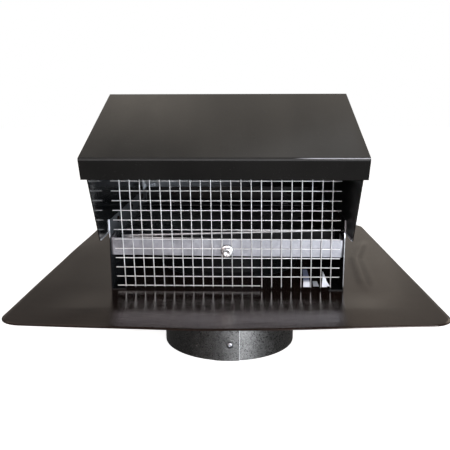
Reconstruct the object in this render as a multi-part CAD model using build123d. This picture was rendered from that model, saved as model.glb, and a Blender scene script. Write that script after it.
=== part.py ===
from build123d import *
from math import cos, floor, radians, sin, tan
import os

# Hooded roof vent for a 4 inch exhaust duct: folded sheet steel, a wire screen and a backdraft damper.
# Millimetres. The origin is where the duct axis meets the underside of the base flange.
# +Z is up, the open front faces -Y, and +X is on the right as seen from the front.
# Heights called "height" are measured from the top face of the flange.

# Sheet stock
sheet = 0.6  # painted steel of the flange, throat and hood
collar_sheet = 0.5  # galvanised steel of the collar
bend_radius = 0.8  # inside radius of a fold

# Base flange
flange_width = 254.0
flange_depth = 291.0
flange_front = 145.5  # front edge, ahead of the duct axis
flange_corner_radius = 13.0

# Duct collar
collar_diameter = 100.3  # outside, made to slip into a 4 inch duct
collar_drop = 61.0  # length below the flange
collar_rise = 31.2  # length above the flange, to the damper's seat
collar_bead = 2.5  # rolled bead that rests on the edge of the flange's hole
bead_seat_gap = 0.05
collar_hole_clearance = 0.3  # round the lap, which goes in through the hole
lap_start_deg = -11.0  # overlap of the rolled seam, counted from the front towards +X
lap_end_deg = 9.5
lap_top_clearance = 0.3
seam_rivet_deg = 1.5
seam_rivet_inset = 12.0  # from each end of the seam

# Throat
throat_width = 152.0  # outside
throat_front = 77.5  # open front edges, ahead of the duct axis
throat_back = 76.0  # outside of the back wall, behind the duct axis
throat_height = 46.6
foot_width = 9.0  # feet turned inwards on the flange
foot_end_gap = 4.0

# Hood
lid_slope_deg = 21.0
lid_length = 95.4
lid_front = 142.1  # front fold, ahead of the duct axis
lid_front_height = 91.8
lip_depth = 12.7
ridge_notch = 0.6  # half of the slit between the side lips at the ridge
rear_fold_lift = 1.0  # rear fold above the throat's back wall
lap_height = 38.2  # lower edge of the hood, where it laps the throat outside
wing_tip = 102.3  # lower front corner of a hood side, ahead of the duct axis
wing_lean_deg = 31.0  # front edge of a hood side, from upright
wing_tip_radius = 2.2
seat_gap = 0.1  # hood sides under the cover

# Wire screen
wire_diameter = 0.65
wire_pitch = 6.38
wire_weld_gap = 0.01
wire_overhang = 5.6  # cross wires past the outer uprights
wire_side_gap = 1.2  # least room from the cross wires to the throat's walls
wire_screw_gap = 0.4  # from a cut wire to the screw that goes through it
screen_lean_deg = 5.0  # forwards
screen_skew_deg = 0.9  # uprights to the left
screen_shift = 0.6  # middle of the screen's foot, right of the duct axis
screen_inset = 1.4  # foot of the screen, behind the throat's front edges
screen_foot_height = 2.3  # lowest cross wire
screen_foot_overhang = 1.6  # uprights below the lowest cross wire
screen_top_overhang = 1.6
screen_top_gap = 3.0  # least room under the lid
broken_wire_end = 22.0  # the lowest cross wire is broken off here, right of the middle

# Screen strap and screw
strap_sheet = 0.9
strap_height = 11.7
strap_low = 20.4  # lower edge, up the screen from its lowest cross wire
strap_tab = 14.0  # ends turned back along the throat's walls
strap_side_gap = 0.15
strap_tilt_deg = 0.5  # down to the right
screw_diameter = 3.2
screw_length = 11.0
screw_drop = 2.0  # below the middle of the strap
screw_hex = 5.6  # across flats
screw_hex_height = 3.2
screw_recess_diameter = 3.4
screw_recess_depth = 1.1
screw_washer_diameter = 7.8
screw_washer_height = 0.9

# Damper
damper_side_gap = 2.9  # from the throat's walls
damper_front = 55.0  # front edge, ahead of the duct axis
damper_seat_gap = 0.3
damper_twist = 4.4  # lift of the right front corner, off its seat
damper_lip_left = 1.0  # turned-down front lip, deeper at its right end
damper_lip_right = 7.4
hinge_back = 57.0  # hinge axis, behind the duct axis
hinge_rod_diameter = 3.0
hinge_play = 0.06  # radial running clearance
knuckle_count = 3
knuckle_length = 24.0
rod_cap_diameter = 6.0
rod_cap_height = 1.6

# Rivets
rivet_diameter = 3.2
rivet_hole_gap = 0.05  # radial
rivet_head_diameter = 5.0
rivet_head_height = 1.0
rivet_tail_diameter = 4.4
rivet_tail_height = 1.2
cover_rivets = 2  # on each side of the lid and of the rear slope
lap_rivets = 3  # on each side of the throat and on its back
drill_length = 8.0  # through every stack of sheets

# Places worked out from the sizes above
flange_top = sheet
throat_top = flange_top + throat_height
throat_inner = throat_width / 2 - sheet
side_outer = throat_width / 2 + sheet
cover_outer = side_outer + sheet
lap_low = flange_top + lap_height
lap_middle = (lap_low + throat_top) / 2
collar_radius = collar_diameter / 2
collar_top = flange_top + collar_rise
collar_hole_radius = collar_radius + collar_sheet + collar_hole_clearance
hole_radius = rivet_diameter / 2 + rivet_hole_gap

# Fold lines of the cover's outer face, as (y, z)
lid_along = Vector(cos(radians(lid_slope_deg)), sin(radians(lid_slope_deg)))
lid_down = Vector(lid_along.Y, -lid_along.X)
front_fold = Vector(-lid_front, flange_top + lid_front_height)
lip_edge = front_fold + lid_down * lip_depth
ridge_fold = front_fold + lid_along * lid_length
rear_fold = Vector(throat_back + sheet, throat_top + rear_fold_lift)
apron_edge = Vector(throat_back + sheet, lap_low)
rear_along = (rear_fold - ridge_fold).normalized()
rear_down = Vector(rear_along.Y, -rear_along.X)
rear_length = (rear_fold - ridge_fold).length
ridge_down = (lid_down + rear_down).normalized()

# Plane of the screen: x to the right, y up along the wires, z out to the front
screen_lean = radians(screen_lean_deg)
screen_plane = Plane(
    origin=(0, screen_inset - throat_front, flange_top + screen_foot_height),
    x_dir=(1, 0, 0),
    z_dir=(0, -cos(screen_lean), -sin(screen_lean)),
)
screen_skew = tan(radians(screen_skew_deg))
strap_face = -wire_diameter - 2 * wire_weld_gap
screw_up = strap_low + strap_height / 2 - screw_drop
screw_across = screen_shift - screen_skew * screw_up

# Damper and hinge
damper_width = 2 * (throat_inner - damper_side_gap)
damper_low = collar_top + damper_seat_gap
knuckle_inner = hinge_rod_diameter / 2 + hinge_play
knuckle_outer = knuckle_inner + sheet
hinge_middle = Vector(0, hinge_back, damper_low + knuckle_outer)
hinge_rod_length = throat_width + 2 * rod_cap_height


def crossing(point, direction, other_point, other_direction):
    """Point where two lines of one plane meet."""
    turn = direction.cross(other_direction).Z
    travel = (other_point - point).cross(other_direction).Z / turn
    return point + direction * travel


def folded_section(points, thickness, inside_radius):
    """Section of a folded sheet: its outer line with rounded folds, thickened to the right."""
    outer_line = FilletPolyline(*points, radius=inside_radius + thickness)
    return make_face(outer_line.offset_2d(thickness, side=Side.RIGHT).edges())


def raised(outline, height):
    """Outline of the XY plane, drawn up to a height."""
    return extrude(outline, amount=height, dir=(0, 0, 1))


def side_plate(points, x_low, x_high):
    """Flat plate with a (y, z) outline, between two values of x."""
    return Plane.YZ.offset(x_low) * raised(Polygon(*points, align=None), x_high - x_low)


def creased_facet(*corners):
    """Three-cornered flat stretch of a creased sheet, given by its lower corners."""
    return extrude(make_face(Polyline(*corners, close=True)), amount=sheet, dir=(0, 0, 1))


def drill(point, direction, radius, depth):
    """Round tool for a hole, centred on a point."""
    return Plane(origin=point, z_dir=direction) * Cylinder(radius, depth)


def rivet(point, outward, grip, tail_height):
    """Set rivet with its head on the outer face at a point."""
    low = Align.CENTER, Align.CENTER, Align.MIN
    high = Align.CENTER, Align.CENTER, Align.MAX
    head_radius = rivet_head_diameter / 2
    body = Cone(head_radius, head_radius - rivet_head_height / 2, rivet_head_height, align=low)
    body += Cylinder(rivet_diameter / 2, grip, align=high)
    if tail_height > 0:
        body += Pos(0, 0, -grip) * Cylinder(rivet_tail_diameter / 2, tail_height, align=high)
    return Plane(origin=point, z_dir=outward) * body


def group(shapes):
    """One node of separate solids."""
    return Compound(children=[solid for shape in shapes for solid in shape.solids()])


def seam_rivet_spots():
    """Points and outward directions of the collar's rivets, on the lap's outer face."""
    angle = radians(seam_rivet_deg)
    outward = Vector(sin(angle), -cos(angle), 0)
    heights = (seam_rivet_inset - collar_drop, -seam_rivet_inset)
    return [(outward * (collar_radius + collar_sheet) + Vector(0, 0, z), outward) for z in heights]


def cover_rivet_spots():
    """Rivets through the cover's side lips and the hood sides, on the right."""
    slopes = (
        (front_fold, lid_along, lid_down, lid_length),
        (ridge_fold, rear_along, rear_down, rear_length),
    )
    spots = []
    for start, along, down, length in slopes:
        for count in range(cover_rivets):
            spot = start + along * (length * (count + 0.5) / cover_rivets) + down * (lip_depth / 2)
            spots.append(Vector(cover_outer, spot.X, spot.Y))
    return spots


def lap_rivet_spots():
    """Rivets through a hood side and the throat's wall, on the right."""
    step = (throat_front + throat_back) / lap_rivets
    places = [(count + 0.5) * step - throat_front for count in range(lap_rivets)]
    return [Vector(side_outer, y, lap_middle) for y in places]


def apron_rivet_spots():
    """Rivets through the cover's apron and the throat's back wall."""
    step = throat_width / lap_rivets
    places = [(count + 0.5) * step - throat_width / 2 for count in range(lap_rivets)]
    return [Vector(x, throat_back + sheet, lap_middle) for x in places]


def strap_rivet_spot():
    """Rivet through the throat's right wall and the middle of the strap's end tab."""
    up = strap_low + strap_height / 2
    spot = screen_plane.from_local_coords(Vector(0, up, strap_face - strap_sheet - strap_tab / 2))
    return Vector(throat_width / 2, spot.Y, spot.Z)


def mirrored(point):
    """The same place on the left."""
    return Vector(-point.X, point.Y, point.Z)


def both_sides(points):
    """Points on the right and on the left, each with its outward direction."""
    right = [(point, Vector(1, 0, 0)) for point in points]
    return right + [(mirrored(point), Vector(-1, 0, 0)) for point in points]


def make_base_flange():
    centre = Pos(0, flange_depth / 2 - flange_front)
    outline = centre * RectangleRounded(flange_width, flange_depth, flange_corner_radius)
    return raised(outline - Circle(collar_hole_radius), sheet)


def make_duct_collar():
    bead_low = flange_top + bead_seat_gap - (collar_hole_radius - collar_radius)
    bead_middle = bead_low + collar_bead
    wall_line = [
        (collar_radius, collar_top),
        (collar_radius, bead_middle + collar_bead),
        (collar_radius + collar_bead, bead_middle),
        (collar_radius, bead_low),
        (collar_radius, -collar_drop),
    ]
    wall = revolve(Plane.XZ * folded_section(wall_line, collar_sheet, bend_radius), Axis.Z)
    reach = 2 * collar_radius
    starts = radians(lap_start_deg)
    ends = radians(lap_end_deg)
    wedge = Polygon(
        (0, 0),
        (reach * sin(starts), -reach * cos(starts)),
        (reach * sin(ends), -reach * cos(ends)),
        align=None,
    )
    lap = (Circle(collar_radius + collar_sheet) - Circle(collar_radius)) & wedge
    wall += Pos(0, 0, -collar_drop) * raised(lap, collar_drop - lap_top_clearance)
    for spot, outward in seam_rivet_spots():
        wall -= drill(spot, outward, hole_radius, drill_length)
    return wall


def make_throat_body():
    half = throat_width / 2
    wall_line = [(-half, -throat_front), (-half, throat_back), (half, throat_back), (half, -throat_front)]
    walls = Pos(0, 0, flange_top) * raised(folded_section(wall_line, sheet, bend_radius), throat_height)
    low_corner = Align.MIN, Align.MIN, Align.MIN
    foot_reach = foot_width + sheet
    corner_room = foot_reach + foot_end_gap
    side_length = throat_front + throat_back - corner_room
    for left in (-half, half - foot_reach):
        walls += Pos(left, -throat_front, flange_top) * Box(foot_reach, side_length, sheet, align=low_corner)
    back_length = throat_width - 2 * corner_room
    back_foot = Box(back_length, foot_reach, sheet, align=low_corner)
    walls += Pos(corner_room - half, throat_back - foot_reach, flange_top) * back_foot
    for spot, outward in both_sides(lap_rivet_spots() + [strap_rivet_spot()]):
        walls -= drill(spot, outward, hole_radius, drill_length)
    for spot in apron_rivet_spots():
        walls -= drill(spot, Vector(0, 1, 0), hole_radius, drill_length)
    rod_hole = hinge_rod_diameter / 2 + hinge_play
    walls -= drill(hinge_middle, Vector(1, 0, 0), rod_hole, hinge_rod_length)
    return walls


def make_hood_cover():
    fold_line = [lip_edge, front_fold, ridge_fold, rear_fold, apron_edge]
    section = folded_section(fold_line, sheet, bend_radius)
    cover = Plane.YZ.offset(-cover_outer) * raised(section, 2 * cover_outer)
    lid_corner = ridge_fold + ridge_down * (lip_depth / ridge_down.dot(lid_down))
    rear_corner = ridge_fold + ridge_down * (lip_depth / ridge_down.dot(rear_down))
    lid_lip = [
        front_fold + lid_along * (sheet / 2) + lid_down * (sheet / 2),
        ridge_fold - lid_along * ridge_notch + ridge_down * (sheet / 2),
        lid_corner - lid_along * ridge_notch,
        lip_edge + lid_along * (sheet / 2),
    ]
    back_plane = Vector(throat_back + sheet / 2, 0)
    upright = Vector(0, 1)
    rear_lip = [
        ridge_fold + rear_along * ridge_notch + ridge_down * (sheet / 2),
        crossing(ridge_fold + rear_down * (sheet / 2), rear_along, back_plane, upright),
        crossing(ridge_fold + rear_down * lip_depth, rear_along, back_plane, upright),
        rear_corner + rear_along * ridge_notch,
    ]
    for x_low, x_high in ((side_outer, cover_outer), (-cover_outer, -side_outer)):
        cover += side_plate(lid_lip, x_low, x_high)
        cover += side_plate(rear_lip, x_low, x_high)
    for spot, outward in both_sides(cover_rivet_spots()):
        cover -= drill(spot, outward, hole_radius, drill_length)
    for spot in apron_rivet_spots():
        cover -= drill(spot, Vector(0, 1, 0), hole_radius, drill_length)
    return cover


def make_hood_side(x_low, x_high):
    wing_lean = radians(wing_lean_deg)
    wing_edge = Vector(-sin(wing_lean), cos(wing_lean))
    tip = Vector(-wing_tip, lap_low)
    under_lid = front_fold + lid_down * (sheet + seat_gap)
    under_rear = ridge_fold + rear_down * (sheet + seat_gap)
    outline = [
        tip,
        crossing(tip, wing_edge, under_lid, lid_along),
        crossing(under_lid, lid_along, under_rear, rear_along),
        crossing(under_rear, rear_along, Vector(throat_back, 0), Vector(0, 1)),
        Vector(throat_back, lap_low),
    ]
    panel = side_plate(outline, x_low, x_high)
    tip_edge = panel.edges().filter_by(Axis.X).sort_by_distance((x_low, tip.X, tip.Y))[0]
    panel = fillet(tip_edge, wing_tip_radius)
    for spot, outward in both_sides(cover_rivet_spots() + lap_rivet_spots()):
        panel -= drill(spot, outward, hole_radius, drill_length)
    return panel


def make_wire_screen():
    room = 2 * (throat_inner - wire_overhang - wire_side_gap - screen_shift)
    columns = floor(room / wire_pitch) + 1
    half_width = (columns - 1) * wire_pitch / 2
    foot = Vector(screen_plane.origin.Y, screen_plane.origin.Z)
    climb = Vector(-sin(screen_lean), cos(screen_lean))
    top = crossing(foot, climb, front_fold + lid_down * sheet, lid_along)
    rows = floor(((top - foot).length - screen_top_gap - screen_top_overhang) / wire_pitch) + 1
    upright_length = (rows - 1) * wire_pitch + screen_foot_overhang + screen_top_overhang
    low = Align.CENTER, Align.CENTER, Align.MIN
    wire_radius = wire_diameter / 2
    upright_run = upright_length / cos(radians(screen_skew_deg))
    upright = Rot(-90, 0, 0) * Cylinder(wire_radius, upright_run, align=low)
    wires = []
    for column in range(columns):
        across = screen_shift + column * wire_pitch - half_width + screen_skew * screen_foot_overhang
        place = Pos(across, -screen_foot_overhang, wire_radius) * Rot(0, 0, screen_skew_deg)
        wires.append(screen_plane * place * upright)
    screw_room = screw_diameter / 2 + wire_screw_gap
    for row in range(rows):
        up = row * wire_pitch
        middle = screen_shift - screen_skew * up
        left = middle - half_width - wire_overhang
        right = middle + half_width + wire_overhang if row else broken_wire_end
        spans = [(left, right)]
        if abs(up - screw_up) < screw_room + wire_radius:
            spans = [(left, screw_across - screw_room), (screw_across + screw_room, right)]
        for start, end in spans:
            place = Pos(start, up, -wire_radius - wire_weld_gap) * Rot(0, 90, 0)
            wires.append(screen_plane * place * Cylinder(wire_radius, end - start, align=low))
    return group(wires)


def make_screen_strap():
    half = throat_inner - strap_side_gap
    tab_end = strap_face - strap_sheet - strap_tab
    fold_line = [(-half, tab_end), (-half, strap_face), (half, strap_face), (half, tab_end)]
    top_plane = Plane(
        origin=screen_plane.from_local_coords(Vector(0, strap_low + strap_height, 0)),
        x_dir=screen_plane.x_dir,
        z_dir=-screen_plane.y_dir,
    )
    section = folded_section(fold_line, strap_sheet, bend_radius)
    strap = top_plane * Rot(0, -strap_tilt_deg, 0) * raised(section, strap_height)
    screw_spot = screen_plane.from_local_coords(Vector(screw_across, screw_up, strap_face))
    screw_hole = screw_diameter / 2 + rivet_hole_gap
    strap -= drill(screw_spot, screen_plane.z_dir, screw_hole, drill_length)
    for spot, outward in both_sides([strap_rivet_spot()]):
        strap -= drill(spot, outward, hole_radius, drill_length)
    return strap


def make_screen_screw():
    low = Align.CENTER, Align.CENTER, Align.MIN
    high = Align.CENTER, Align.CENTER, Align.MAX
    head = Cylinder(screw_washer_diameter / 2, screw_washer_height, align=low)
    hexagon = RegularPolygon(screw_hex / 2, 6, major_radius=False)
    head += Pos(0, 0, screw_washer_height) * raised(hexagon, screw_hex_height)
    head_top = screw_washer_height + screw_hex_height
    recess = Cylinder(screw_recess_diameter / 2, screw_recess_depth, align=high)
    head -= Pos(0, 0, head_top) * recess
    head += Cylinder(screw_diameter / 2, screw_length, align=high)
    seat = Pos(screw_across, screw_up, wire_diameter + wire_weld_gap)
    return screen_plane * seat * head


def make_damper_flap():
    half = damper_width / 2
    right_low = damper_low + damper_twist
    back_left = Vector(-half, hinge_back, damper_low)
    back_right = Vector(half, hinge_back, damper_low)
    front_left = Vector(-half, -damper_front, damper_low)
    front_right = Vector(half, -damper_front, right_low)
    flap = creased_facet(back_left, front_left, back_right)
    flap += creased_facet(front_left, front_right, back_right)
    lip_plane = Plane(origin=(0, sheet - damper_front, 0), x_dir=(1, 0, 0), z_dir=(0, -1, 0))
    lip_outline = Polygon(
        (-half, damper_low + sheet),
        (-half, damper_low - damper_lip_left),
        (half, right_low - damper_lip_right),
        (half, right_low + sheet),
        align=None,
    )
    flap += lip_plane * raised(lip_outline, sheet)
    knuckle_span = damper_width - knuckle_length
    knuckle_step = knuckle_span / (knuckle_count - 1)
    for count in range(knuckle_count):
        middle = hinge_middle + Vector(count * knuckle_step - knuckle_span / 2, 0, 0)
        flap += drill(middle, Vector(1, 0, 0), knuckle_outer, knuckle_length)
    flap -= drill(hinge_middle, Vector(1, 0, 0), knuckle_inner, hinge_rod_length)
    return flap


def make_hinge_rod():
    return drill(hinge_middle, Vector(1, 0, 0), hinge_rod_diameter / 2, hinge_rod_length)


def make_rod_caps():
    cap_bore = hinge_rod_diameter / 2 + rivet_hole_gap
    caps = []
    for side in (1, -1):
        spot = hinge_middle + Vector(side * (throat_width + rod_cap_height) / 2, 0, 0)
        cap = drill(spot, Vector(1, 0, 0), rod_cap_diameter / 2, rod_cap_height)
        caps.append(cap - drill(spot, Vector(1, 0, 0), cap_bore, drill_length))
    return group(caps)


def make_collar_rivets():
    return group([rivet(spot, outward, 2 * collar_sheet, 0) for spot, outward in seam_rivet_spots()])


def make_cover_rivets():
    spots = both_sides(cover_rivet_spots())
    return group([rivet(spot, outward, 2 * sheet, rivet_tail_height) for spot, outward in spots])


def make_lap_rivets():
    spots = both_sides(lap_rivet_spots()) + [(spot, Vector(0, 1, 0)) for spot in apron_rivet_spots()]
    return group([rivet(spot, outward, 2 * sheet, rivet_tail_height) for spot, outward in spots])


def make_strap_rivets():
    grip = sheet + 2 * strap_side_gap + strap_sheet
    spots = both_sides([strap_rivet_spot()])
    return group([rivet(spot, outward, grip, rivet_tail_height) for spot, outward in spots])


nodes = {
    "base_flange": make_base_flange(),
    "duct_collar": make_duct_collar(),
    "collar_rivets": make_collar_rivets(),
    "throat_body": make_throat_body(),
    "hood_cover": make_hood_cover(),
    "hood_side_left": make_hood_side(-side_outer, -throat_width / 2),
    "hood_side_right": make_hood_side(throat_width / 2, side_outer),
    "cover_rivets": make_cover_rivets(),
    "lap_rivets": make_lap_rivets(),
    "wire_screen": make_wire_screen(),
    "screen_strap": make_screen_strap(),
    "strap_rivets": make_strap_rivets(),
    "screen_screw": make_screen_screw(),
    "damper_flap": make_damper_flap(),
    "hinge_rod": make_hinge_rod(),
    "rod_caps": make_rod_caps(),
}

os.makedirs("parts", exist_ok=True)
for name, shape in nodes.items():
    shape.label = name
    export_step(shape, f"parts/{name}.step")
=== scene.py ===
"""Looks of a hooded roof vent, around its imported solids.

Bronze enamel, zinc, fasteners, sealant and a studio stage.
"""

from math import cos, hypot, pi, radians, sin

import bmesh
import bpy
from bpy.props import FloatProperty, FloatVectorProperty, IntProperty, PointerProperty
from bpy.types import Operator, Panel, PropertyGroup
from mathutils import Matrix, Vector, noise


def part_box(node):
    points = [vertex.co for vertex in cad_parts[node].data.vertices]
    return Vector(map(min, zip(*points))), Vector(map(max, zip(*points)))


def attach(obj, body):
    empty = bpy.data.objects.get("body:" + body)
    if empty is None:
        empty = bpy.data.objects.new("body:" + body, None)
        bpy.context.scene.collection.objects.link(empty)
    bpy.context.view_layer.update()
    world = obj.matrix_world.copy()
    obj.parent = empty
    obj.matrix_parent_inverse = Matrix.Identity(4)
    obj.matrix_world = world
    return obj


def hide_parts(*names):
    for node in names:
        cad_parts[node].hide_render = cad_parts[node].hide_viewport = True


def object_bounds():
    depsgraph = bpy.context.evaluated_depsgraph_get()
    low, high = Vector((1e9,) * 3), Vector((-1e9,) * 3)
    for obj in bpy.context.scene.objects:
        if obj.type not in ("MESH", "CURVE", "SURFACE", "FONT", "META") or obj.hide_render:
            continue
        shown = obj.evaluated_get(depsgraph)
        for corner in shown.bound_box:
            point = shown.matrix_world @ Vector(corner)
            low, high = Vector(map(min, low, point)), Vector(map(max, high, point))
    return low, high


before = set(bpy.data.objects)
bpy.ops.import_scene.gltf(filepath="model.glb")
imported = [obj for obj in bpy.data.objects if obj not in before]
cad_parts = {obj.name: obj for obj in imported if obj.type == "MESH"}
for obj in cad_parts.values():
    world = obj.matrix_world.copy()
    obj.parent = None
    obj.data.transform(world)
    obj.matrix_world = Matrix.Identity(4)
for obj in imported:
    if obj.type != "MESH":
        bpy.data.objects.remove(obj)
cad_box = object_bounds()

bl_info = {
    "name": "Roof Vent Looks",
    "version": (1, 0, 0),
    "blender": (4, 5, 0),
    "location": "View3D > Sidebar > Roof Vent",
    "description": "Finishes, fasteners and studio stage of a hooded roof vent",
    "category": "Object",
}

HOUSING = "housing"
DAMPER = "damper"

# Hood's front fold, above the flange's underside
FOLD_HEIGHT = 0.0924

# Slow waves of stiff sheet, to the metre
STIFF_WAVES = 9

# Points nearer than this are one point, in a drawn piece and in a packed one
SAME_POINT = 1e-7
SAME_PACKED_POINT = 1e-6

# Levels of the peeled flakes of sealant, pale painted highlights behind the screen's right foot: left,
# right, leaning back, height
FLAKES = (
    (
        (0.0505, 0.0550, 0.0, 0.0),
        (0.0506, 0.0549, 0.0004, 0.0034),
        (0.0509, 0.0546, 0.0064, 0.0061),
        (0.0513, 0.0543, 0.0150, 0.0078),
    ),
    (
        (0.0628, 0.0687, 0.0, 0.0),
        (0.0631, 0.0660, 0.0006, 0.0040),
        (0.0633, 0.0653, 0.0012, 0.0066),
        (0.0640, 0.0642, 0.0070, 0.0088),
    ),
    (
        (0.0574, 0.0612, 0.0015, 0.0),
        (0.0579, 0.0607, 0.0095, 0.0013),
    ),
)

# Patches of the studio's wall that the enamel mirrors: brightness, ranges to the right, ranges upward
PATCHES = {
    "dark corner": (-0.42, ((-0.10, -0.25),), ((0.27, 0.33), (0.60, 0.50))),
    "window": (4.5, ((0.42, 0.55),), ((0.08, 0.20), (0.60, 0.50))),
    "high gap": (-0.62, ((-0.05, -0.12),), ((0.68, 0.72),)),
    "high shade": (-0.32, ((0.06, 0.14),), ((0.66, 0.70),)),
    "left glow": (0.45, ((-0.08, -0.16),), ((0.70, 0.67), (0.50, 0.60))),
    "right glint": (0.32, ((0.08, 0.16), (0.30, 0.22)), ((0.60, 0.50),)),
}


# Shader expressions

class Field:
    """Number or colour over a surface. Arithmetic on it adds Math nodes to its tree."""

    def __init__(self, finish, socket):
        self.finish = finish
        self.socket = socket

    def math(self, operation, first, second):
        return self.finish.node("Math", {0: first, 1: second}, operation=operation)

    def __add__(self, other):
        return self.math("ADD", self, other)

    def __sub__(self, other):
        return self.math("SUBTRACT", self, other)

    def __rsub__(self, other):
        return self.math("SUBTRACT", other, self)

    def __mul__(self, other):
        return self.math("MULTIPLY", self, other)

    def __abs__(self):
        return self.math("ABSOLUTE", self, 0.0)

    __radd__ = __add__
    __rmul__ = __mul__


class Finish:
    """Shader tree being written."""

    def __init__(self, tree):
        self.tree = tree
        tree.nodes.clear()

    def node(self, kind, sockets=None, output=0, **settings):
        """Adds a node: its settings first, then the values or links of its sockets."""
        node = self.tree.nodes.new("ShaderNode" + kind)
        for key, value in settings.items():
            setattr(node, key, value)
        for key, value in (sockets or {}).items():
            if isinstance(value, Field):
                self.tree.links.new(value.socket, node.inputs[key])
            else:
                node.inputs[key].default_value = value
        return Field(self, node.outputs[output]) if node.outputs else None

    def place(self):
        """Place on the object, in metres of the vent's own frame."""
        return self.node("TexCoord", output=3)

    def facing(self):
        """Way that the surface faces."""
        return self.node("NewGeometry", output=3)

    def axis(self, vector, name):
        """One of a vector's X, Y and Z."""
        return self.node("SeparateXYZ", {0: vector}, output="XYZ".index(name))

    def stretched(self, scale):
        """Place on the object, scaled alike or apart along its axes."""
        scales = scale if isinstance(scale, tuple) else (scale, scale, scale)
        return self.node("VectorMath", {0: self.place(), 1: scales}, operation="MULTIPLY")

    def clouds(self, scale, detail=3.0, roughness=0.5):
        """Cloudy noise from 0 to 1, so many clouds to the metre."""
        sockets = {"Vector": self.stretched(scale), "Scale": 1.0, "Detail": detail, "Roughness": roughness}
        return self.node("TexNoise", sockets)

    def crystals(self, width, part):
        """Crystal cells of a width: one part, X or Y, of each cell's own random colour."""
        sockets = {"Vector": self.stretched(1.0 / width), "Scale": 1.0}
        return self.axis(self.node("TexVoronoi", sockets, output=1), part)

    def step(self, value, low, high, start=0.0, end=1.0):
        """Smooth step from start to end while a value goes from low to high."""
        sockets = {0: value, 1: low, 2: high, 3: start, 4: end}
        return self.node("MapRange", sockets, interpolation_type="SMOOTHSTEP")

    def along(self, axis, low, high, start=0.0, end=1.0):
        """Smooth step along an axis of the object."""
        return self.step(self.axis(self.place(), axis), low, high, start, end)

    def mix(self, share, first, second):
        """Colour between two colours."""
        return self.node("Mix", {0: share, 6: first, 7: second}, output=2, data_type="RGBA")

    def bump(self, height, distance, strength=1.0, under=None):
        """Normal of a bumped surface, on another bump if there is one."""
        sockets = {"Strength": strength, "Distance": distance, "Height": height}
        if under:
            sockets["Normal"] = under
        return self.node("Bump", sockets)

    def surface(self, sockets):
        """Principled surface as the material's output."""
        shader = self.node("BsdfPrincipled", sockets)
        self.node("OutputMaterial", {"Surface": shader})


def opaque(colour, gain=1.0):
    """Colour with its alpha, made lighter or darker."""
    return tuple(part * gain for part in colour) + (1.0,)


def new_finish(name):
    """Empty material and its tree."""
    material = bpy.data.materials.new(name)
    material.use_nodes = True
    return material, Finish(material.node_tree)


def dress(node_name, material):
    """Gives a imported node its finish."""
    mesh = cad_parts[node_name].data
    mesh.materials.clear()
    mesh.materials.append(material)


# Sizes and colours that a user would change

def maker(kind, **settings):
    """Function that makes one kind of property from a name, a description and a default."""

    def make(name, description, default):
        return kind(name=name, description=description, default=default, **settings)

    return make


metres = maker(FloatProperty, unit="LENGTH")
metres_xy = maker(FloatVectorProperty, size=2, subtype="XYZ", unit="LENGTH")
metres_xyz = maker(FloatVectorProperty, size=3, subtype="XYZ", unit="LENGTH")
turn_by = maker(FloatProperty, subtype="ANGLE")
number = maker(FloatProperty)
whole = maker(IntProperty)
rgb = maker(FloatVectorProperty, subtype="COLOR")


class VentStage(PropertyGroup):
    """Camera, lights and floor."""

    camera_place: metres_xyz("Camera", "Place of the camera", (0.01043, -0.46767, 0.1224))
    camera_yaw: turn_by("Yaw", "Turn to the right", radians(-1.691))
    camera_pitch: turn_by("Pitch", "Tilt down", radians(11.365))
    camera_roll: turn_by("Roll", "Turn about the line of sight", radians(-0.138))
    camera_lens: number("Lens", "Focal length in millimetres on a 36 mm sensor", 49.65)
    floor_radius: metres("Floor", "Radius of the floor", 4.0)
    floor_colour: rgb("Floor colour", "Pale floor", (0.86, 0.86, 0.86))
    floor_glow: number("Floor glow", "Fill light that thins the floor's shadow", 1.0)
    back_colour: rgb("Back colour", "Warm tone of the studio behind the vent", (1.0, 0.89, 0.76))
    back_light: number("Back light", "Brightness of the studio behind the vent", 0.20)
    top_light: number("Top light", "Brightness of the studio overhead", 0.08)
    front_light: number("Front light", "Brightness of the studio before the vent", 0.07)
    key_power: number("Key", "Power of the soft box at the front right, in watts", 15.0)
    key_colour: rgb("Key colour", "Cool tone of the key soft box", (0.92, 0.96, 1.0))
    fill_power: number("Fill", "Power of the soft box high at the front left, in watts", 5.6)
    fill_colour: rgb("Fill colour", "Warm tone of the fill soft box", (1.0, 0.87, 0.84))
    sky_power: number("Top box", "Power of the soft box overhead, in watts", 0.9)


class VentFlange(PropertyGroup):
    """Bends of the thin base flange."""

    corner_radius: metres("Corner", "Radius of a corner", 0.013)
    hole_radius: metres("Hole", "Radius of the collar's hole", 0.05095)
    grid: metres("Grid", "Step along the outline", 0.003)
    rings: whole("Rings", "Rings from the hole to the outline", 48)
    droop: metres("Droop", "Drop of the front edge", 0.0019)
    droop_start: metres("Droop start", "Where the droop begins, before the duct axis", 0.1165)
    lift: number("Lift", "Rise of the front edge toward its corners, per length", 0.031)
    lift_start: metres("Lift start", "Where the front's rise and the sides' twist begin", 0.0775)
    lift_middle: metres("Lift middle", "Lowest place of the edge", -0.018)
    lift_round: metres("Lift round", "Rounding of the lowest place", 0.02)
    twist: number("Twist", "Rise of the left side toward the rear, per length", 0.0085)
    twist_width: metres("Twist width", "Where the twist is full", 0.115)
    twist_low: metres("Twist low", "Most that a side sinks", 0.0004)
    twist_high: metres("Twist high", "Most that a side rises", 0.0023)
    ripple: metres("Ripple", "Height of the slow waves", 0.0004)
    ripple_scale: number("Ripple scale", "Waves to the metre", 13.0)
    kink: metres("Kink", "Height of the kink on the right", 0.0008)
    kink_width: metres("Kink width", "Half width of the kink", 0.0035)
    kink_start: metres_xy("Kink start", "Rear end of the kink", (0.118, 0.077))
    kink_bend: metres_xy("Kink bend", "Bend of the kink", (0.0986, 0.008))
    kink_end: metres_xy("Kink end", "Front end of the kink", (0.0903, -0.086))


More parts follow.
